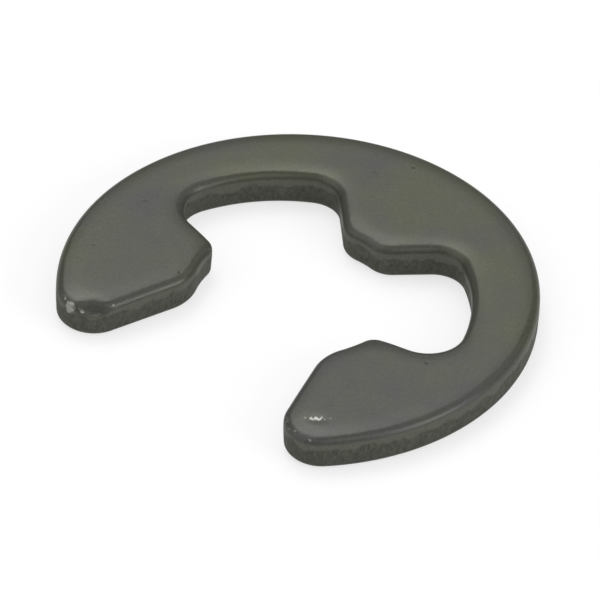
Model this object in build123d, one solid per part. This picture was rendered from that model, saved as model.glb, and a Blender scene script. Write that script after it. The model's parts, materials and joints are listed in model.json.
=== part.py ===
"""E clip: a retaining clip blanked from one strip of spring steel.

The clip lies flat. The shaft's axis is Z, the mouth opens towards -Y, and the
lower face is at Z = 0. Angles are measured at the shaft's axis, from +Y.
"""

from build123d import *
import os
from math import cos, radians, sin

# Sizes, in millimetres and degrees.
thickness = 0.60

outer_diameter = 7.30
outer_shift = 0.05  # the outer circle's centre, away from the mouth

land_diameter = 3.10  # the circle of the three lands that grip the groove

relief_diameter = 5.60
relief_shift = 0.23  # the relief circle's centre, towards the mouth

centre_land_half_angle = 13.0
centre_flank_lean = 32.8  # the centre prong widens towards its root

heel_angle = 92.0  # where each side prong's land begins
heel_lean = 14.8  # the side prong widens towards its root
toe_angle = 123.8  # where each side prong's land ends
mouth_half_angle = 18.3  # the lead-in that spreads the clip onto the shaft

centre_land_corner = 0.45
centre_root_corner = 0.47
heel_root_corner = 0.56
heel_corner = 0.25
toe_corner = 0.78
tip_corner = 0.57

die_roll = 0.17  # rounding of the upper edge, where the punch went in
tumbled_edge = 0.10  # rounding of the lower edge, where the burr was

outer_radius = outer_diameter / 2
land_radius = land_diameter / 2
relief_radius = relief_diameter / 2
outer_centre = Vector(0, outer_shift)
relief_centre = Vector(0, -relief_shift)
far = outer_diameter  # long enough to leave the blank in any direction


def direction(angle):
    """Unit vector at an angle from +Y, turning towards +X."""
    return Vector(sin(radians(angle)), cos(radians(angle)))


def mirrored(point):
    """The same point on the other side of the YZ plane."""
    return Vector(-point.X, point.Y)


def polygon(*points):
    """Flat face with straight sides through the points."""
    return make_face(Polyline(*points, close=True))


def centre_prong():
    """The middle prong, from its land out into the back of the clip."""
    land = direction(centre_land_half_angle) * land_radius
    root = land + direction(centre_land_half_angle + centre_flank_lean) * far
    return polygon(land, root, mirrored(root), mirrored(land))


def side_prong():
    """The prong on +X, between its heel line and its lead-in line."""
    heel = direction(heel_angle) * land_radius
    heel_end = heel + direction(heel_angle - heel_lean) * far
    toe = direction(toe_angle) * land_radius
    toe_end = toe + direction(180 - mouth_half_angle) * far
    return polygon(heel, heel_end, Vector(heel_end.X, toe_end.Y), toe_end, toe)


def mouth():
    """The flared opening between the two side prongs."""
    toe = direction(toe_angle) * land_radius
    toe_end = toe + direction(180 - mouth_half_angle) * far
    return polygon(toe, toe_end, mirrored(toe_end), mirrored(toe))


def sharp_profile():
    """The clip's outline with every corner still sharp."""
    blank = Pos(outer_centre) * Circle(outer_radius)
    relief = Pos(relief_centre) * Circle(relief_radius)
    right = side_prong()
    prongs = (centre_prong() + right + mirror(right, about=Plane.YZ)) & relief
    return blank - relief + prongs - Circle(land_radius) - mouth()


def corners_on(profile, centre, radius):
    """Places of the corners that lie on a circle, farthest from the mouth first."""
    places = [Vector(*vertex) for vertex in profile.vertices()]
    near = [place for place in places if abs((place - centre).length - radius) < 1e-4]
    return sorted(near, key=lambda place: -place.Y)


def rounded(profile, places, radius):
    """The profile with the corners at these places rounded."""
    corners = [profile.vertices().sort_by_distance(place)[0] for place in places]
    return fillet(corners, radius)


def clip_profile():
    """The finished outline: three lands, two relief lobes and two rounded tips."""
    profile = sharp_profile()
    on_land = corners_on(profile, Vector(0, 0), land_radius)
    on_relief = corners_on(profile, relief_centre, relief_radius)
    on_outside = corners_on(profile, outer_centre, outer_radius)
    profile = rounded(profile, on_land[:2], centre_land_corner)
    profile = rounded(profile, on_relief[:2], centre_root_corner)
    profile = rounded(profile, on_relief[2:4], heel_root_corner)
    profile = rounded(profile, on_land[2:4], heel_corner)
    profile = rounded(profile, on_land[4:6], toe_corner)
    return rounded(profile, on_outside, tip_corner)


def e_clip():
    """The stamped clip, rolled at its upper edge and tumbled at its lower edge."""
    clip = extrude(clip_profile(), amount=thickness)
    tightest = min(centre_land_corner, heel_corner, toe_corner, tip_corner)
    upper_edge = clip.faces().sort_by(Axis.Z)[-1].edges()
    clip = fillet(upper_edge, min(die_roll, 0.95 * tightest))
    lower_edge = clip.faces().sort_by(Axis.Z)[0].edges()
    return fillet(lower_edge, min(tumbled_edge, 0.95 * tightest))


os.makedirs("parts", exist_ok=True)
clip = e_clip()
clip.label = "e_clip"
export_step(clip, "parts/e_clip.step")
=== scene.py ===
"""E clip: a flat retaining clip blanked from spring steel, with its stage.

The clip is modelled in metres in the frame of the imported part: the shaft's axis
is Z, the mouth opens towards -Y and the lower face is at Z = 0.
"""

import json
from math import acos, ceil, cos, exp, floor, pi, radians, sin, sqrt

import bpy
from bpy.props import FloatProperty, FloatVectorProperty, PointerProperty
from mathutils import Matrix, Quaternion, Vector
from mathutils.kdtree import KDTree


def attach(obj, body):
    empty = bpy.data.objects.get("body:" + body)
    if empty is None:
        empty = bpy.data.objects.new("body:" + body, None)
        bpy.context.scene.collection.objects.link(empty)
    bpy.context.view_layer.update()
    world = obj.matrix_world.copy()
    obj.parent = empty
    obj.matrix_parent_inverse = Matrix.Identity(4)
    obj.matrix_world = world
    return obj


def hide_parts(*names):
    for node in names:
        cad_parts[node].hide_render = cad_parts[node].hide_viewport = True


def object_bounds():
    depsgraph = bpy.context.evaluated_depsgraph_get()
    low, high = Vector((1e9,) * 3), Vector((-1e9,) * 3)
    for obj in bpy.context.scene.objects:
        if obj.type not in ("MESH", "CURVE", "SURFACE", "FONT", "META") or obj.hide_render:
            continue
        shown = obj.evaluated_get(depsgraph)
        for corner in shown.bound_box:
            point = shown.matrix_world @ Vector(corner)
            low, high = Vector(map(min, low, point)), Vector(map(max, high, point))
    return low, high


bl_info = {
    "name": "E Clip",
    "version": (1, 0, 0),
    "blender": (4, 5, 0),
    "location": "3D View > Sidebar > E Clip",
    "description": "Models a stamped e clip and a plain studio around it",
    "category": "Add Mesh",
}

MM = 0.001
NODE = "e_clip"

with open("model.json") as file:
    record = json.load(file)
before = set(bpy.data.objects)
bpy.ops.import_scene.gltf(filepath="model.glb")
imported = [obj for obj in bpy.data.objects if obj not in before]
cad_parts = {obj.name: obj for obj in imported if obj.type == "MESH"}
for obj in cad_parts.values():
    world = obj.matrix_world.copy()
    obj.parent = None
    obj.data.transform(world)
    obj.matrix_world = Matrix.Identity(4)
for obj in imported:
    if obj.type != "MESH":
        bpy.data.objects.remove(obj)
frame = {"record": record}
cad_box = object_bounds()
groove_seat = next(m for m in frame["record"]["mounts"] if m["name"] == "groove_seat")


# Sizes and colours ------------------------------------------------------------


def length(name, description, millimetres):
    """A length property, given in millimetres."""
    return FloatProperty(
        name=name, description=description, default=millimetres * MM, unit="LENGTH", precision=5
    )


def angle(name, description, degrees):
    """An angle property, given in degrees."""
    return FloatProperty(
        name=name, description=description, default=radians(degrees), subtype="ANGLE"
    )


def colour(name, description, red, green, blue):
    """A colour property, in linear light."""
    return FloatVectorProperty(
        name=name,
        description=description,
        default=(red, green, blue),
        subtype="COLOR",
        min=0.0,
        max=1.0,
    )


def position(name, description, x, y, z):
    """A position property, in metres."""
    return FloatVectorProperty(
        name=name,
        description=description,
        default=(x, y, z),
        subtype="TRANSLATION",
        precision=5,
    )


def share(name, description, part):
    """A property between 0 and 1."""
    return FloatProperty(
        name=name, description=description, default=part, subtype="FACTOR", min=0.0, max=1.0
    )


def large_length(name, description, metres):
    """A length property of the stage, given in metres."""
    return FloatProperty(name=name, description=description, default=metres, unit="LENGTH")


def power(name, description, watts):
    """A lamp power property."""
    return FloatProperty(name=name, description=description, default=watts, unit="POWER")


class ClipSizes(bpy.types.PropertyGroup):
    """The clip's outline, section and marks."""

    thickness: length(
        "Thickness", "Thickness of the strip", groove_seat["dims"]["length_mm"]
    )
    outer_diameter: length(
        "Outer Diameter", "Width of the clip", round((cad_box[1].x - cad_box[0].x) / MM, 2)
    )
    outer_shift: length("Outer Shift", "Outer circle's centre, away from the mouth", 0.05)
    land_radius: length("Land Radius", "Circle of the three lands", groove_seat["dims"]["r_mm"])
    relief_diameter: length("Relief Diameter", "Circle of the two lobes", 5.60)
    relief_shift: length("Relief Shift", "Relief circle's centre, towards the mouth", 0.23)
    centre_land_half_angle: angle("Centre Land", "Half angle of the centre land", 13.0)
    centre_flank_lean: angle("Centre Flank Lean", "How far the centre prong widens", 32.8)
    heel_angle: angle("Heel Angle", "Where each side land begins, from +Y", 92.0)
    heel_lean: angle("Heel Lean", "How far each side prong widens", 14.8)
    toe_angle: angle("Toe Angle", "Where each side land ends, from +Y", 123.8)
    mouth_half_angle: angle("Mouth Half Angle", "Flare of the lead-in", 18.3)
    centre_land_corner: length("Centre Land Corner", "Rounding of the centre land", 0.45)
    centre_root_corner: length("Centre Root Corner", "Rounding at the centre prong's root", 0.47)
    heel_root_corner: length("Heel Root Corner", "Rounding at a side prong's root", 0.56)
    heel_corner: length("Heel Corner", "Rounding where a side land begins", 0.25)
    toe_corner: length("Toe Corner", "Rounding where a side land ends", 0.78)
    tip_corner: length("Tip Corner", "Rounding of the prong tips", 0.57)
    die_roll: length("Die Roll", "Rounding of the upper edge", 0.12)
    edge_droop: length("Edge Droop", "How far the upper face sinks at its edges", 0.03)
    edge_reach: length("Edge Reach", "How far in from the edge it begins to sink", 0.12)
    tip_droop: length("Tip Droop", "How much further it sinks along the prong tips", 0.038)
    tip_reach: length("Tip Reach", "How far in it sinks along the prong tips", 0.20)
    tip_length: length("Tip Length", "How far along the edge the tip's sinking spreads", 0.35)
    heel_droop: length("Heel Droop", "How much further it sinks at the land corners", 0.02)
    heel_reach: length("Heel Reach", "Spread of the sinking at the land corners", 0.18)
    dent_turn: angle("Dent Turn", "Direction of the dents, from +X", 39.0)
    dent_place: position(
        "Dent Place", "Middle of the dent in one tip's edge", -0.00195, -0.00243, 0.0
    )
    dent_depth: length("Dent Depth", "Depth of the dent", 0.14)
    dent_length: length("Dent Length", "Spread of the dent along its direction", 0.15)
    dent_width: length("Dent Width", "Spread of the dent across its direction", 0.045)
    chip_place: position(
        "Chip Place", "Where the coat has chipped beside the dent", -0.00226, -0.00258, 0.00045
    )
    chip_length: length("Chip Length", "Spread of the chip along the dents' direction", 0.07)
    chip_width: length("Chip Width", "Spread of the chip across it", 0.07)
    rub_place: position(
        "Rub Place", "Where the coat has rubbed off beside the scuff", 0.00229, -0.00211, 0.00058
    )
    rub_length: length("Rub Length", "Spread of the rubbed place along that direction", 0.21)
    rub_width: length("Rub Width", "Spread of the rubbed place across it", 0.045)
    scuff_place: position(
        "Scuff Place", "Middle of the scuff on the other tip", 0.00230, -0.00215, 0.0
    )
    scuff_depth: length("Scuff Depth", "Depth of the scuff", 0.016)
    scuff_length: length("Scuff Length", "Spread of the scuff along its direction", 0.10)
    scuff_width: length("Scuff Width", "Spread of the scuff across its direction", 0.05)
    tumbled_edge: length("Tumbled Edge", "Rounding of the lower edge", 0.10)
    burnish: length("Burnish", "Height of the smooth band below the die roll", 0.12)
    breakaway: length("Breakaway", "How far the torn part of the wall steps in", 0.012)
    facet: length("Facet", "Longest edge along the outline", 0.03)
    grid: length("Grid", "Side of the squares on the upper face", 0.06)


class ClipFinish(bpy.types.PropertyGroup):
    """The clip's colours and gloss."""

    olive: colour("Olive", "Phosphate coat, warmer patches", 0.080, 0.082, 0.059)
    slate: colour("Slate", "Phosphate coat, cooler patches", 0.076, 0.078, 0.072)
    wall: colour("Wall", "Coat on the sheared wall", 0.094, 0.096, 0.077)
    worn: colour("Worn", "Steel that shows through at the edges", 0.27, 0.27, 0.25)
    grazing: colour("Grazing", "Tint of the reflection at grazing angles", 0.3, 0.3, 0.3)
    metal: share("Metal", "How metallic the coat looks", 0.40)
    strip_roughness: share("Strip Roughness", "Roughness of the faces and rounded edges", 0.32)
    wall_roughness: share("Wall Roughness", "Roughness of the wall's smooth band", 0.42)
    torn_roughness: share("Torn Roughness", "How much rougher the torn wall is", 0.16)


class StageSizes(bpy.types.PropertyGroup):
    """Floor, light and camera."""

    floor: large_length("Floor", "Side of the floor", 1.2)
    floor_colour: colour("Floor Colour", "Colour of the floor", 0.97, 0.97, 0.97)
    camera_distance: large_length(
        "Camera Distance", "From the camera to the shaft's axis", 0.365
    )
    azimuth: angle("Azimuth", "Camera's turn to the right of the mouth", 39.7)
    elevation: angle("Elevation", "Camera's height above the floor", 39.8)
    roll: angle("Roll", "Camera's tilt about its own axis", 2.1)
    view_width: length("View Width", "Width seen at the clip", 9.05)
    aim_right: length("Aim Right", "Centre of view, right of the shaft's axis", 0.0745)
    aim_up: length("Aim Up", "Centre of view, above the shaft's axis", 0.2317)
    floor_glow: share("Floor Glow", "Share of plain white in the floor, as it is seen", 0.67)
    surround: share("Surround", "Strength of the even light", 0.28)
    key_place: position(
        "Key Place", "Middle of the panel behind on the left", -0.156, 0.162, 0.268
    )
    key_side: large_length("Key Side", "Side of the panel behind on the left", 0.2)
    key_power: power("Key Power", "Power of the panel behind on the left", 0.21)
    top_place: position(
        "Top Place", "Middle of the panel high on the left", -0.131, 0.056, 0.32
    )
    top_side: large_length("Top Side", "Side of the panel high on the left", 0.2)
    top_power: power("Top Power", "Power of the panel high on the left", 0.36)
    left_place: position(
        "Left Place", "Middle of the panel in front on the left", -0.158, -0.217, 0.225
    )
    left_side: large_length("Left Side", "Side of the panel in front on the left", 0.38)
    left_power: power("Left Power", "Power of the panel in front on the left", 0.40)
    front_place: position(
        "Front Place", "Middle of the panel in front on the right", 0.215, -0.114, 0.252
    )
    front_side: large_length("Front Side", "Side of the panel in front on the right", 0.24)
    front_power: power("Front Power", "Power of the panel in front on the right", 0.18)
    right_place: position(
        "Right Place", "Middle of the panel low on the right", 0.32, 0.068, 0.125
    )
    right_side: large_length("Right Side", "Side of the panel low on the right", 0.21)
    right_power: power("Right Power", "Power of the panel low on the right", 0.46)
    back_place: position(
        "Back Place", "Middle of the panel behind on the right", 0.124, 0.199, 0.26
    )
    back_side: large_length("Back Side", "Side of the panel behind on the right", 0.28)
    back_power: power("Back Power", "Power of the panel behind on the right", 0.13)


# Modelling helpers ------------------------------------------------------------

FEWEST_ARC_STEPS = 3
ROLL_RINGS = 9  # rings of faces round the die roll
TORN_RINGS = 5  # rings of faces down the torn part of the wall
TUMBLED_RINGS = 6  # rings of faces round the lower edge
MIRROR_GAP = 1e-6  # metres within which the two halves join
CUT_GAP = 1e-8  # metres within which a cut takes a vertex that is there
BELL_EDGE = 3  # reaches after which a smooth bump counts as nothing
FLAT_POWER = 8  # a high power, so that only faces close to level escape wear
BARE_WEAR = 2  # wear at the chip and the rubbed place, over the most elsewhere


def deselect_all():
    """Leave edit mode with nothing selected."""
    if bpy.context.object and bpy.context.object.mode != "OBJECT":
        bpy.ops.object.mode_set(mode="OBJECT")
    bpy.ops.object.select_all(action="DESELECT")


def direction(turn):
    """Unit vector at an angle from +Y, turning towards +X."""
    return Vector((sin(turn), cos(turn), 0.0))


def rounded_corner(
    line_start, way, material_side, circle_centre, circle_radius, reach, radius
):
    """Centre of a corner's arc, and where it leaves the line and the circle.

    The arc touches a line that starts at line_start and a circle. It lies on the
    line's left for a material_side of 1, and its centre is reach from the circle's.
    """
    across = Vector((-way.y, way.x, 0.0)) * material_side
    base = line_start + across * radius - circle_centre
    along = base.dot(way)
    run = sqrt(along**2 - base.length_squared + reach**2) - along
    centre = base + way * run + circle_centre
    on_circle = circle_centre + (centre - circle_centre).normalized() * circle_radius
    return centre, centre - across * radius, on_circle


def selected_place():
    """Where the one selected vertex of the edited mesh is."""
    bpy.context.object.update_from_editmode()
    return next(v.co.copy() for v in bpy.context.object.data.vertices if v.select)


def start_vertex(place, name):
    """A new object in edit mode that holds one vertex."""
    deselect_all()
    bpy.ops.mesh.primitive_plane_add(size=MM, location=place)
    bpy.context.object.name = name
    bpy.ops.object.transform_apply(location=True)
    bpy.ops.object.mode_set(mode="EDIT")
    bpy.ops.mesh.merge(type="CENTER")


def spin_to(end, centre, clockwise, facet):
    """Spin the selected vertex about a centre as far as the end."""
    start = selected_place()
    arm = start - centre
    cosine = arm.normalized().dot((end - centre).normalized())
    turn = acos(max(-1.0, min(1.0, cosine)))
    steps = max(FEWEST_ARC_STEPS, ceil(turn * arm.length / facet))
    bpy.ops.mesh.spin(
        steps=steps, angle=turn if clockwise else -turn, center=centre, axis=(0.0, 0.0, 1.0)
    )


def line_to(end, facet):
    """Extrude the selected vertex along a straight line as far as the end."""
    step_count = max(1, ceil((end - selected_place()).length / facet))
    step = (end - selected_place()) / step_count
    for _ in range(step_count):
        bpy.ops.mesh.extrude_region_move(TRANSFORM_OT_translate={"value": step})


def apply_modifier(piece, kind, **settings):
    """Add a modifier with these settings and apply it."""
    modifier = piece.modifiers.new(kind.title(), kind)
    for name, value in settings.items():
        setattr(modifier, name, value)
    bpy.ops.object.modifier_apply(modifier=modifier.name)


def select_flat_face(side):
    """Select the flat face on top, for a side of 1, or underneath, for -1."""
    bpy.ops.object.mode_set(mode="OBJECT")
    mesh = bpy.context.object.data
    for part in (mesh.vertices, mesh.edges, mesh.polygons):
        part.foreach_set("select", [False] * len(part))
    # the two flats have far more corners than any face of the wall
    flat = max(mesh.polygons, key=lambda face: face.center.z * side + len(face.vertices))
    flat.select = True
    bpy.ops.object.mode_set(mode="EDIT")
    bpy.ops.mesh.select_mode(type="FACE")


def inset_rings(steps):
    """Inset the selected face once for each step, a width in and a height out."""
    for width, height in steps:
        bpy.ops.mesh.inset(
            thickness=width, depth=height, use_even_offset=True, use_boundary=True
        )


def quarter_round(width, height, count):
    """Inset steps from a wall over a rounded edge onto the flat."""
    turns = [i * pi / 2 / count for i in range(count + 1)]
    return [
        (width * (cos(a) - cos(b)), height * (sin(b) - sin(a)))
        for a, b in zip(turns, turns[1:])
    ]


# The clip ---------------------------------------------------------------------


def trace_half_outline(sizes):
    """Trace the outline on +X as one chain of edges, from the back to the centre land.

    Returns the places of the prong's tip, its heel and the centre land's corner.
    """
    axis = Vector()
    outer_centre = Vector((0.0, sizes.outer_shift, 0.0))
    outer_radius = sizes.outer_diameter / 2
    relief_centre = Vector((0.0, -sizes.relief_shift, 0.0))
    relief_radius = sizes.relief_diameter / 2
    land = sizes.land_radius

    flank = direction(sizes.centre_land_half_angle) * land
    flank_way = direction(sizes.centre_land_half_angle + sizes.centre_flank_lean)
    heel = direction(sizes.heel_angle) * land
    heel_way = direction(sizes.heel_angle - sizes.heel_lean)
    toe = direction(sizes.toe_angle) * land
    toe_way = direction(pi - sizes.mouth_half_angle)

    def on_land(start, way, side, radius):
        return rounded_corner(start, way, side, axis, land, land + radius, radius)

    def on_relief(start, way, side, radius):
        reach = relief_radius - radius
        return rounded_corner(start, way, side, relief_centre, relief_radius, reach, radius)

    tip_reach = outer_radius - sizes.tip_corner
    tip = rounded_corner(
        toe, toe_way, 1, outer_centre, outer_radius, tip_reach, sizes.tip_corner
    )
    toe_corner = on_land(toe, toe_way, 1, sizes.toe_corner)
    heel_corner = on_land(heel, heel_way, -1, sizes.heel_corner)
    heel_root = on_relief(heel, heel_way, 1, sizes.heel_root_corner)
    centre_root = on_relief(flank, flank_way, -1, sizes.centre_root_corner)
    centre_corner = on_land(flank, flank_way, 1, sizes.centre_land_corner)

    facet = sizes.facet
    start_vertex(outer_centre + Vector((0.0, outer_radius, 0.0)), "stamped_clip")
    spin_to(tip[2], outer_centre, True, facet)
    spin_to(tip[1], tip[0], True, facet)
    line_to(toe_corner[1], facet)
    spin_to(toe_corner[2], toe_corner[0], True, facet)
    spin_to(heel_corner[2], axis, False, facet)
    spin_to(heel_corner[1], heel_corner[0], True, facet)
    line_to(heel_root[1], facet)
    spin_to(heel_root[2], heel_root[0], False, facet)
    spin_to(centre_root[2], relief_centre, False, facet)
    spin_to(centre_root[1], centre_root[0], False, facet)
    line_to(centre_corner[1], facet)
    spin_to(centre_corner[2], centre_corner[0], True, facet)
    spin_to(Vector((0.0, land, 0.0)), axis, False, facet)
    return tip[1].lerp(tip[2], 0.5), heel, flank


def cut_into_squares(low, high, side):
    """Cut the selected flat face into squares, and leave them selected."""
    bpy.ops.mesh.hide(unselected=True)
    for axis in (Vector((1.0, 0.0, 0.0)), Vector((0.0, 1.0, 0.0))):
        start = floor(low.dot(axis) / side)
        for line in range(start, ceil(high.dot(axis) / side)):
            bpy.ops.mesh.select_all(action="SELECT")
            bpy.ops.mesh.bisect(
                plane_co=axis * side * (line + 0.5), plane_no=axis, threshold=CUT_GAP
            )
    bpy.ops.mesh.select_all(action="SELECT")
    bpy.ops.mesh.reveal(select=False)


def both_sides(place):
    """A place and its mirror image."""
    return [place, Vector((-place.x, place.y, place.z))]


def bell(distance, reach):
    """A smooth bump, 1 in the middle and falling away over the reach."""
    return exp(-0.5 * (distance / reach) ** 2)


class OutlineBand:
    """The sinking of the upper face within reach of a stretch of the outline."""

    def __init__(self, places, shares, droop, reach):
        self.shares = shares
        self.droop = droop
        self.reach = reach
        self.tree = KDTree(len(places))
        for index, place in enumerate(places):
            self.tree.insert(place, index)
        self.tree.balance()

    def at(self, place):
        """The depth at a place. Each vertex of the outline adds its share."""
        near = self.tree.find_range(place, BELL_EDGE * self.reach)
        total = sum(bell(distance, self.reach) * self.shares[i] for _, i, distance in near)
        return self.droop * total / (self.reach * sqrt(2 * pi))


class EdgeDroop:
    """How far the blanking punch leaves the upper face below its level at a place.

    The face sinks near every edge, most where edges lie close around a place,
    as at a convex corner, and further at the tips and the land corners.
    """

    def __init__(self, clip, sizes, tips, corners):
        self.sizes = sizes
        self.corners = corners
        places = [vertex.co.copy() for vertex in clip.data.vertices]
        shares = [0.0] * len(places)
        for edge in clip.data.edges:
            start, end = edge.vertices
            half = (places[start] - places[end]).length / 2
            shares[start] += half
            shares[end] += half
        at_tips = [
            part * max(bell((place - tip).length, sizes.tip_length) for tip in tips)
            for place, part in zip(places, shares)
        ]
        kept = [i for i, part in enumerate(at_tips) if part > shares[i] / 100]
        self.bands = (
            OutlineBand(places, shares, sizes.edge_droop, sizes.edge_reach),
            OutlineBand(
                [places[i] for i in kept],
                [at_tips[i] for i in kept],
                sizes.tip_droop,
                sizes.tip_reach,
            ),
        )

    def at(self, place):
        """The depth below the upper face's level at a place, whatever its height."""
        flat = Vector((place.x, place.y, 0.0))
        depth = sum(band.at(flat) for band in self.bands)
        for corner in self.corners:
            depth += self.sizes.heel_droop * bell((flat - corner).length, self.sizes.heel_reach)
        return depth


def oval(sizes, name, place):
    """How far a place lies inside a named long mark: 1 in its middle, falling away."""
    way = Vector((cos(sizes.dent_turn), sin(sizes.dent_turn), 0.0))
    offset = place - Vector(getattr(sizes, name + "_place"))
    along = offset.dot(way)
    across = (offset - way * along).length
    reach, width = (getattr(sizes, name + end) for end in ("_length", "_width"))
    return bell(along, reach) * bell(across, width)


def dents_depth(sizes, place):
    """The depth at a place of the dent in one prong's tip and the scuff on the other."""
    flat = Vector((place.x, place.y, 0.0))
    return sum(
        getattr(sizes, name + "_depth") * oval(sizes, name, flat) for name in ("dent", "scuff")
    )


def mark_wear(clip, sizes, depths):
    """Mark where the coat wears, from how deep the face sinks at each vertex.

    It wears on the rolled edge, most where the face sinks most, and it is gone
    at the chip and the rubbed place.
    """
    wear = [0.0] * len(clip.data.vertices)
    for index, depth in depths.items():
        slope = max(0.0, clip.data.vertices[index].normal.z)
        wear[index] = slope * (1.0 - slope**FLAT_POWER) * depth
    most_worn = max(wear)
    for vertex in clip.data.vertices:
        bare = oval(sizes, "chip", vertex.co) + oval(sizes, "rub", vertex.co)
        wear[vertex.index] += BARE_WEAR * most_worn * bare
    marks = clip.data.attributes.new("edge_wear", "FLOAT", "POINT")
    marks.data.foreach_set("value", [value / most_worn for value in wear])


def sink_upper_face(clip, sizes, droop):
    """Sink the upper face at its edges and dents. The foot of the wall stays in place."""
    foot = sizes.tumbled_edge
    rise = sizes.thickness - sizes.die_roll - foot
    depths = {}
    sinks = {}
    for vertex in clip.data.vertices:
        part = min(1.0, (vertex.co.z - foot) / rise)
        if part > 0.0:
            depth = droop.at(vertex.co)
            depths[vertex.index] = depth
            sinks[vertex.index] = part * (depth + dents_depth(sizes, vertex.co))
    mark_wear(clip, sizes, depths)
    deepest = max(sinks.values())
    group = clip.vertex_groups.new(name="edge_droop")
    for index, sink in sinks.items():
        group.add([index], sink / deepest, "REPLACE")
    apply_modifier(
        clip, "DISPLACE", direction="Z", strength=-deepest, mid_level=0.0, vertex_group=group.name
    )
    clip.vertex_groups.clear()


def make_clip(sizes):
    """The whole clip as one closed mesh."""
    tip, heel, centre_corner = trace_half_outline(sizes)
    bpy.ops.object.mode_set(mode="OBJECT")
    clip = bpy.context.object
    apply_modifier(clip, "MIRROR", merge_threshold=MIRROR_GAP)
    tips = both_sides(tip)
    corners = both_sides(heel) + both_sides(centre_corner)
    droop = EdgeDroop(clip, sizes, tips, corners)

    bpy.ops.object.mode_set(mode="EDIT")
    bpy.ops.mesh.select_all(action="SELECT")
    bpy.ops.mesh.edge_face_add()
    roll_foot = sizes.thickness - sizes.die_roll
    bpy.ops.transform.translate(value=(0.0, 0.0, roll_foot))
    bpy.ops.mesh.extrude_region_move(
        TRANSFORM_OT_translate={"value": (0.0, 0.0, -sizes.burnish)}
    )
    bpy.ops.mesh.select_all(action="SELECT")
    bpy.ops.mesh.normals_make_consistent(inside=False)

    torn = roll_foot - sizes.burnish - sizes.tumbled_edge
    select_flat_face(-1)
    inset_rings([(sizes.breakaway / TORN_RINGS, torn / TORN_RINGS)] * TORN_RINGS)
    inset_rings(quarter_round(sizes.tumbled_edge, sizes.tumbled_edge, TUMBLED_RINGS))
    inset_rings([(sizes.facet / 2, 0.0)])
    select_flat_face(1)
    inset_rings(quarter_round(sizes.die_roll, sizes.die_roll, ROLL_RINGS))
    inset_rings([(sizes.facet / 2, 0.0)])
    low, high = Vector(clip.bound_box[0]), Vector(clip.bound_box[6])
    cut_into_squares(low, high, sizes.grid)
    bpy.ops.object.mode_set(mode="OBJECT")
    sink_upper_face(clip, sizes, droop)
    bpy.ops.object.shade_smooth()
    return clip


# Materials --------------------------------------------------------------------

# The mix node's two inputs and its output, by index because their names repeat.
MIX_SOCKETS = {"FLOAT": (2, 3, 0), "RGBA": (6, 7, 2)}

# Threes of numbers below are features in a millimetre along X, Y and Z.
NOISE_SWING = (0.3, 0.7)  # most values of a noise lie between these
PIT_CELLS = 2.4  # cells in a millimetre, some of which hold a pit
PIT_CHANCE = (0.5, 0.6)  # cells below the first hold none, above the second a full one
PIT_RIM = (0.03, 0.10)  # a pit's floor and rim, in cells from its middle
PIT_DARKENING = 0.35
PIT_DEPTH = 2.0  # against the height of the crystals
CLOUD_SWING = (0.36, 0.66)  # patches below are all one colour, above all the other
CLOUD_LEAN = -0.03  # change in the patches with each millimetre from the mouth
SPECKLE = (0.88, 1.12)  # darkest and lightest crystal
UNEVEN_GLOSS = 0.06  # change in roughness over the patches
WEAR_SHARE = 0.32  # how much full wear adds to the specks
SPECK_RIM = (0.84, 0.92)  # specks above the second are quite bare
ROLLING_LINES = (34.0, 1.1, 34.0)  # lines along Y
ROLLING_DEPTH = 0.6  # against the height of the crystals
STRIP_RELIEF = 2e-6  # metres from the lowest to the highest crystal
WALL_RELIEF = 3e-6
BORDER_WAVE = (3.5, 3.5, 0.0)
BORDER_SWING = 0.07  # millimetres that the border of the torn part wanders
BORDER_BLUR = 0.02  # millimetres, half the width of that border
SHEAR_LINES = (26.0, 26.0, 1.0)  # upright lines
TEARS = (16.0, 16.0, 9.0)
TEAR_DEPTH = 4.0  # against the depth of the upright lines
TEAR_SWING = (0.35, 0.65)
# darkest tone of the torn part: its tears' own patchy tone, and painted shade at the foot of the
# wall
DARKEST_TORN_TONE_AND_SHADE = 0.55
LEVEL_LIMIT = 0.2  # a face is wall where its normal rises or falls by less than this


def add_node(tree, kind, place, **settings):
    """A node of this kind, with its plain settings and the values of its named sockets."""
    node = tree.nodes.new(kind)
    node.location = place
    for name, value in settings.items():
        if hasattr(node, name):
            setattr(node, name, value)
        else:
            node.inputs[name.replace("_", " ").title()].default_value = value
    return node


def new_group(name, inputs, outputs):
    """A shader node group with these sockets, given as name: (kind, default)."""
    group = bpy.data.node_groups.new(name, "ShaderNodeTree")
    for way, sockets in (("INPUT", inputs), ("OUTPUT", outputs)):
        for label, (kind, default) in sockets.items():
            socket = group.interface.new_socket(label, in_out=way, socket_type=kind)
            if default is not None:
                socket.default_value = default
    return group


def place_in_mm(tree, place):
    """The place on the object, in millimetres."""
    source = add_node(tree, "ShaderNodeTexCoord", place)
    beside = (place[0] + 200, place[1])
    in_mm = add_node(tree, "ShaderNodeVectorMath", beside, operation="SCALE", Scale=1 / MM)
    tree.links.new(source.outputs["Object"], in_mm.inputs[0])
    return in_mm.outputs[0]


def stretched_noise(tree, place, source, stretch, **settings):
    """Noise with about this many features in a millimetre along X, Y and Z."""
    stretched = add_node(tree, "ShaderNodeVectorMath", place, operation="MULTIPLY")
    stretched.inputs[1].default_value = stretch
    beside = (place[0] + 200, place[1])
    noise = add_node(tree, "ShaderNodeTexNoise", beside, Scale=1.0, **settings)
    tree.links.new(source, stretched.inputs[0])
    tree.links.new(stretched.outputs[0], noise.inputs["Vector"])
    return noise.outputs["Fac"]


def mapped(tree, place, value, from_min, from_max, to_min, to_max):
    """A value mapped from one range to another, and held inside it."""
    node = add_node(
        tree,
        "ShaderNodeMapRange",
        place,
        From_Min=from_min,
        From_Max=from_max,
        To_Min=to_min,
        To_Max=to_max,
    )
    tree.links.new(value, node.inputs["Value"])
    return node.outputs[0]


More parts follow.
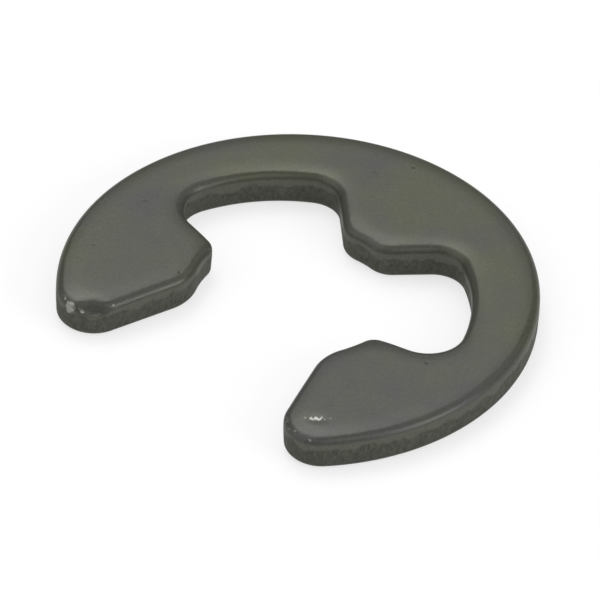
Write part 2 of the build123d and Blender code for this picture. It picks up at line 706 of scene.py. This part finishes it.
def worked(tree, place, operation, first, second):
    """A math node on two values, each a socket or a number."""
    node = add_node(tree, "ShaderNodeMath", place, operation=operation)
    for value, socket in zip((first, second), node.inputs):
        if isinstance(value, (int, float)):
            socket.default_value = value
        else:
            tree.links.new(value, socket)
    return node.outputs[0]


def mixed(tree, place, factor, first, second, kind="RGBA"):
    """A mix of two colours or two numbers, each a socket or a plain value."""
    node = add_node(tree, "ShaderNodeMix", place, data_type=kind)
    tree.links.new(factor, node.inputs["Factor"])
    first_input, second_input, result = MIX_SOCKETS[kind]
    for value, index in ((first, first_input), (second, second_input)):
        if isinstance(value, (float, tuple)):
            node.inputs[index].default_value = value
        else:
            tree.links.new(value, node.inputs[index])
    return node.outputs[result]


def shaded(tree, place, tint, factor):
    """A colour made darker or lighter by a factor."""
    node = add_node(tree, "ShaderNodeVectorMath", place, operation="SCALE")
    tree.links.new(tint, node.inputs[0])
    tree.links.new(factor, node.inputs["Scale"])
    return node.outputs[0]


def phosphate_group():
    """Matt phosphate coat: cloudy colour, fine crystals, small pits and an uneven gloss."""
    group = new_group(
        "Phosphate Coat",
        {
            "First Colour": ("NodeSocketColor", None),
            "Second Colour": ("NodeSocketColor", None),
            "Patch Scale": ("NodeSocketFloat", 0.9),
            "Crystal Scale": ("NodeSocketFloat", 22.0),
            "Roughness": ("NodeSocketFloat", 0.32),
        },
        {
            "Colour": ("NodeSocketColor", None),
            "Roughness": ("NodeSocketFloat", None),
            "Height": ("NodeSocketFloat", None),
        },
    )
    given = add_node(group, "NodeGroupInput", (-1100, 0)).outputs
    result = add_node(group, "NodeGroupOutput", (1100, 0)).inputs
    place = place_in_mm(group, (-1100, 400))

    patches = add_node(group, "ShaderNodeTexNoise", (-700, 500), Detail=4.0, Roughness=0.6)
    crystals = add_node(group, "ShaderNodeTexNoise", (-700, 150), Detail=3.0, Roughness=0.7)
    pits = add_node(group, "ShaderNodeTexVoronoi", (-700, -200), Scale=PIT_CELLS)
    for texture in (patches, crystals, pits):
        group.links.new(place, texture.inputs["Vector"])
    group.links.new(given["Patch Scale"], patches.inputs["Scale"])
    group.links.new(given["Crystal Scale"], crystals.inputs["Scale"])

    parts = add_node(group, "ShaderNodeSeparateXYZ", (-700, 750))
    group.links.new(place, parts.inputs[0])
    lean = worked(group, (-500, 750), "MULTIPLY", parts.outputs["Y"], CLOUD_LEAN)
    leaning = worked(group, (-300, 650), "ADD", patches.outputs["Fac"], lean)
    cloud = mapped(group, (-100, 600), leaning, *CLOUD_SWING, 0.0, 1.0)
    cloudy = mixed(group, (100, 500), cloud, given["First Colour"], given["Second Colour"])

    chance = mapped(group, (-500, -400), pits.outputs["Color"], *PIT_CHANCE, 0.0, 1.0)
    spot = mapped(group, (-500, -200), pits.outputs["Distance"], *PIT_RIM, 1.0, 0.0)
    pit = worked(group, (-300, -250), "MULTIPLY", spot, chance)
    speckle = mapped(group, (-100, 200), crystals.outputs["Fac"], *NOISE_SWING, *SPECKLE)
    darker = worked(group, (-100, -50), "MULTIPLY", pit, PIT_DARKENING)
    tone = worked(group, (300, 200), "SUBTRACT", speckle, darker)
    group.links.new(shaded(group, (600, 400), cloudy, tone), result["Colour"])

    uneven = mapped(
        group, (100, 0), patches.outputs["Fac"], *NOISE_SWING, -UNEVEN_GLOSS, UNEVEN_GLOSS
    )
    gloss = worked(group, (600, 0), "ADD", given["Roughness"], uneven)
    group.links.new(gloss, result["Roughness"])
    sunk = worked(group, (100, -250), "MULTIPLY", pit, PIT_DEPTH)
    relief = worked(group, (600, -250), "SUBTRACT", crystals.outputs["Fac"], sunk)
    group.links.new(relief, result["Height"])
    return group


def wear_group():
    """Small specks where an edge has lost its coat, more of them where it wears more."""
    group = new_group(
        "Edge Wear",
        {"Amount": ("NodeSocketFloat", 0.0), "Speck Scale": ("NodeSocketFloat", 9.0)},
        {"Bare": ("NodeSocketFloat", None)},
    )
    given = add_node(group, "NodeGroupInput", (-700, 0)).outputs
    result = add_node(group, "NodeGroupOutput", (500, 0)).inputs
    specks = add_node(group, "ShaderNodeTexNoise", (-300, 200), Detail=5.0, Roughness=0.65)
    group.links.new(place_in_mm(group, (-700, 200)), specks.inputs["Vector"])
    group.links.new(given["Speck Scale"], specks.inputs["Scale"])
    added = worked(group, (-300, -50), "MULTIPLY", given["Amount"], WEAR_SHARE)
    both = worked(group, (-100, 100), "ADD", specks.outputs["Fac"], added)
    group.links.new(mapped(group, (200, 100), both, *SPECK_RIM, 0.0, 1.0), result["Bare"])
    return group


def coated_material(name, coat, wear, finish, first, second, roughness):
    """Spring steel under a phosphate coat that is worn through in specks at the edges.

    Returns the material, the coat's sockets and the socket that marks bare steel.
    """
    material = bpy.data.materials.new(name)
    material.use_nodes = True
    tree = material.node_tree
    surface = add_node(tree, "ShaderNodeGroup", (-900, 200), node_tree=coat)
    surface.inputs["First Colour"].default_value = (*first, 1.0)
    surface.inputs["Second Colour"].default_value = (*second, 1.0)
    surface.inputs["Roughness"].default_value = roughness
    marks = add_node(tree, "ShaderNodeAttribute", (-900, 500), attribute_name="edge_wear")
    bare = add_node(tree, "ShaderNodeGroup", (-700, 500), node_tree=wear)
    tree.links.new(marks.outputs["Fac"], bare.inputs["Amount"])
    shader = tree.nodes["Principled BSDF"]
    shader.location = (300, 200)
    shader.inputs["Specular Tint"].default_value = (*finish.grazing, 1.0)
    metal = mapped(tree, (-300, 600), bare.outputs["Bare"], 0.0, 1.0, finish.metal, 1.0)
    tree.links.new(metal, shader.inputs["Metallic"])
    tree.nodes["Material Output"].location = (600, 200)
    return material, surface.outputs, bare.outputs["Bare"]


def finish_surface(material, finish, tint, roughness, height, depth, bare):
    """Join a colour, a roughness and a height of this depth to the material's shader."""
    tree = material.node_tree
    shader = tree.nodes["Principled BSDF"]
    shown = mixed(tree, (0, 400), bare, tint, (*finish.worn, 1.0))
    tree.links.new(shown, shader.inputs["Base Color"])
    tree.links.new(roughness, shader.inputs["Roughness"])
    bump = add_node(tree, "ShaderNodeBump", (0, -200), Strength=1.0, Distance=depth)
    tree.links.new(height, bump.inputs["Height"])
    tree.links.new(bump.outputs["Normal"], shader.inputs["Normal"])


def strip_material(coat, wear, finish):
    """The faces and rounded edges: coat over fine lines from the rolling of the strip."""
    material, surface, bare = coated_material(
        "phosphated_strip", coat, wear, finish, finish.olive, finish.slate, finish.strip_roughness
    )
    tree = material.node_tree
    place = place_in_mm(tree, (-900, -200))
    lines = stretched_noise(tree, (-500, -200), place, ROLLING_LINES, Detail=3.0)
    grain = worked(tree, (-200, -200), "MULTIPLY", lines, ROLLING_DEPTH)
    height = worked(tree, (-100, -350), "ADD", surface["Height"], grain)
    colour_out, roughness = surface["Colour"], surface["Roughness"]
    finish_surface(material, finish, colour_out, roughness, height, STRIP_RELIEF, bare)
    return material


def wall_material(coat, wear, finish, burnish_foot):
    """The sheared wall: a smooth band with upright lines over a rough torn part, painted darker
    partly as shade at the wall's foot.
    """
    material, surface, bare = coated_material(
        "sheared_wall", coat, wear, finish, finish.wall, finish.wall, finish.wall_roughness
    )
    tree = material.node_tree
    place = place_in_mm(tree, (-1500, -300))
    parts = add_node(tree, "ShaderNodeSeparateXYZ", (-1100, -100))
    tree.links.new(place, parts.inputs[0])
    wave = stretched_noise(tree, (-1100, -300), place, BORDER_WAVE, Detail=4.0)
    shift = mapped(tree, (-700, -300), wave, *NOISE_SWING, -BORDER_SWING, BORDER_SWING)
    level = worked(tree, (-500, -100), "ADD", parts.outputs["Z"], shift)
    border = burnish_foot / MM
    above, below = border + BORDER_BLUR, border - BORDER_BLUR
    torn = mapped(tree, (-300, -100), level, above, below, 0.0, 1.0)
    smooth = worked(tree, (-100, -100), "SUBTRACT", 1.0, torn)

    lines = stretched_noise(tree, (-1100, -600), place, SHEAR_LINES, Detail=3.0)
    tears = stretched_noise(tree, (-1100, -900), place, TEARS, Detail=6.0, Roughness=0.75)
    lined = worked(tree, (-100, -600), "MULTIPLY", lines, smooth)
    rough = worked(tree, (-100, -900), "MULTIPLY", tears, torn)
    rougher = worked(tree, (100, -900), "MULTIPLY", rough, TEAR_DEPTH)
    relief = worked(tree, (300, -700), "ADD", lined, rougher)
    height = worked(tree, (500, -600), "ADD", surface["Height"], relief)

    # The torn lower part of the wall is painted darker: partly the tears' own patchy tone, partly
    # painted shade at the foot of the wall.
    tear_tone_and_painted_shade = mapped(tree, (-300, 0), tears, *TEAR_SWING, DARKEST_TORN_TONE_AND_SHADE, 1.0)
    tone = mixed(tree, (-100, 100), torn, 1.0, tear_tone_and_painted_shade, kind="FLOAT")
    tint = shaded(tree, (100, 100), surface["Colour"], tone)
    extra = worked(tree, (-100, 0), "MULTIPLY", torn, finish.torn_roughness)
    roughness = worked(tree, (100, 0), "ADD", surface["Roughness"], extra)
    finish_surface(material, finish, tint, roughness, height, WALL_RELIEF, bare)
    return material


def finish_clip(clip, sizes, finish):
    """Give the strip's faces and the sheared wall their own finish."""
    coat = phosphate_group()
    wear = wear_group()
    roll_foot = sizes.thickness - sizes.die_roll
    clip.data.materials.append(strip_material(coat, wear, finish))
    clip.data.materials.append(wall_material(coat, wear, finish, roll_foot - sizes.burnish))
    walls = [abs(face.normal.z) < LEVEL_LIMIT for face in clip.data.polygons]
    clip.data.polygons.foreach_set("material_index", walls)


# The stage --------------------------------------------------------------------

HORIZON = (0.02, 0.08)  # heights between which the pale band fades into the surround
PANELS = ("key", "top", "left", "front", "right", "back")
CAMERA_REACH = 10  # the camera sees from a tenth to ten times its distance


def white_to_the_eye(tree, place):
    """A value of 1 for the camera, a reflection or a clear part, and 0 for other light."""
    rays = add_node(tree, "ShaderNodeLightPath", place).outputs
    x, y = place
    first = worked(
        tree, (x + 200, y), "MAXIMUM", rays["Is Camera Ray"], rays["Is Glossy Ray"]
    )
    return worked(tree, (x + 400, y), "MAXIMUM", first, rays["Is Transmission Ray"])


def make_floor(stage):
    """A plain pale floor that keeps the clip's shadow."""
    deselect_all()
    bpy.ops.mesh.primitive_plane_add(size=stage.floor, location=(0.0, 0.0, 0.0))
    floor_object = bpy.context.object
    floor_object.name = "floor"
    material = bpy.data.materials.new("pale_floor")
    material.use_nodes = True
    tree = material.node_tree
    shader = tree.nodes["Principled BSDF"]
    shader.inputs["Base Color"].default_value = (*stage.floor_colour, 1.0)
    shader.inputs["Roughness"].default_value = 0.9
    shader.inputs["Specular IOR Level"].default_value = 0.0
    seen = white_to_the_eye(tree, (-700, 300))
    glow = worked(tree, (-100, 300), "MULTIPLY", seen, stage.floor_glow)
    white = add_node(tree, "ShaderNodeEmission", (0, -300), Strength=1.0)
    mix = add_node(tree, "ShaderNodeMixShader", (300, 200))
    tree.links.new(glow, mix.inputs["Fac"])
    tree.links.new(shader.outputs[0], mix.inputs[1])
    tree.links.new(white.outputs[0], mix.inputs[2])
    tree.links.new(mix.outputs[0], tree.nodes["Material Output"].inputs["Surface"])
    floor_object.data.materials.append(material)


def make_world(stage):
    """An even soft light, with a pale band at the horizon where the floor ends."""
    scene = bpy.context.scene
    world = bpy.data.worlds.new("pale_studio")
    scene.world = world
    world.use_nodes = True
    tree = world.node_tree
    background = tree.nodes["Background"]
    background.inputs["Color"].default_value = (1.0, 1.0, 1.0, 1.0)
    way = add_node(tree, "ShaderNodeTexCoord", (-800, 0))
    parts = add_node(tree, "ShaderNodeSeparateXYZ", (-600, 0))
    tree.links.new(way.outputs["Generated"], parts.inputs[0])
    band = mapped(tree, (-400, 0), parts.outputs["Z"], *HORIZON, 1.0, stage.surround)
    tree.links.new(band, background.inputs["Strength"])
    scene.view_settings.view_transform = "Standard"


def add_panel(name, middle, width, watts):
    """One square soft panel that faces the clip."""
    deselect_all()
    bpy.ops.object.light_add(type="AREA", location=middle)
    lamp = bpy.context.object
    lamp.name = name
    lamp.rotation_euler = middle.to_track_quat("Z", "Y").to_euler()
    lamp.data.shape = "SQUARE"
    lamp.data.size = width
    lamp.data.energy = watts


def make_camera(stage):
    """The camera, aimed so that the clip fills the frame."""
    deselect_all()
    back = Vector(
        (
            sin(stage.azimuth) * cos(stage.elevation),
            -cos(stage.azimuth) * cos(stage.elevation),
            sin(stage.elevation),
        )
    )
    turn = back.to_track_quat("Z", "Y") @ Quaternion((0.0, 0.0, 1.0), stage.roll)
    aim = turn @ Vector((stage.aim_right, stage.aim_up, 0.0))
    bpy.ops.object.camera_add(location=aim + back * stage.camera_distance)
    camera = bpy.context.object
    camera.name = "camera"
    camera.rotation_euler = turn.to_euler()
    camera.data.lens = camera.data.sensor_width * stage.camera_distance / stage.view_width
    camera.data.clip_start = stage.camera_distance / CAMERA_REACH
    camera.data.clip_end = stage.camera_distance * CAMERA_REACH
    bpy.context.scene.camera = camera


# Operators and panel ----------------------------------------------------------


class ECLIP_OT_clip(bpy.types.Operator):
    """Model the clip and give it its finish"""

    bl_idname = "eclip.clip"
    bl_label = "Stamped Clip"

    def execute(self, context):
        clip = make_clip(context.scene.clip_sizes)
        finish_clip(clip, context.scene.clip_sizes, context.scene.clip_finish)
        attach(clip, "root")
        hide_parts(NODE)
        return {"FINISHED"}


class ECLIP_OT_stage(bpy.types.Operator):
    """Make the floor, the surround, the light and the camera"""

    bl_idname = "eclip.stage"
    bl_label = "Stage"

    def execute(self, context):
        stage = context.scene.clip_stage
        make_floor(stage)
        make_world(stage)
        for name in PANELS:
            middle, width, watts = (
                getattr(stage, f"{name}_{setting}") for setting in ("place", "side", "power")
            )
            add_panel(name + "_panel", Vector(middle), width, watts)
        make_camera(stage)
        return {"FINISHED"}


class ECLIP_PT_panel(bpy.types.Panel):
    """Sizes, colours and buttons of the clip"""

    bl_idname = "ECLIP_PT_panel"
    bl_label = "E Clip"
    bl_space_type = "VIEW_3D"
    bl_region_type = "UI"
    bl_category = "E Clip"

    def draw(self, context):
        scene = context.scene
        for group in (scene.clip_sizes, scene.clip_finish, scene.clip_stage):
            box = self.layout.box()
            for name in group.bl_rna.properties.keys():
                if name not in ("rna_type", "name"):
                    box.prop(group, name)
        self.layout.operator(ECLIP_OT_clip.bl_idname)
        self.layout.operator(ECLIP_OT_stage.bl_idname)


CLASSES = (
    ClipSizes,
    ClipFinish,
    StageSizes,
    ECLIP_OT_clip,
    ECLIP_OT_stage,
    ECLIP_PT_panel,
)


def register():
    """Register the classes and put their settings on the scene."""
    for item in CLASSES:
        bpy.utils.register_class(item)
    bpy.types.Scene.clip_sizes = PointerProperty(type=ClipSizes)
    bpy.types.Scene.clip_finish = PointerProperty(type=ClipFinish)
    bpy.types.Scene.clip_stage = PointerProperty(type=StageSizes)


def unregister():
    """Take the settings off the scene and unregister the classes."""
    for name in ("clip_stage", "clip_finish", "clip_sizes"):
        delattr(bpy.types.Scene, name)
    for item in reversed(CLASSES):
        bpy.utils.unregister_class(item)


def main():
    """Build the clip and its stage."""
    register()
    bpy.ops.eclip.clip()
    bpy.ops.eclip.stage()


if __name__ == "__main__":
    main()
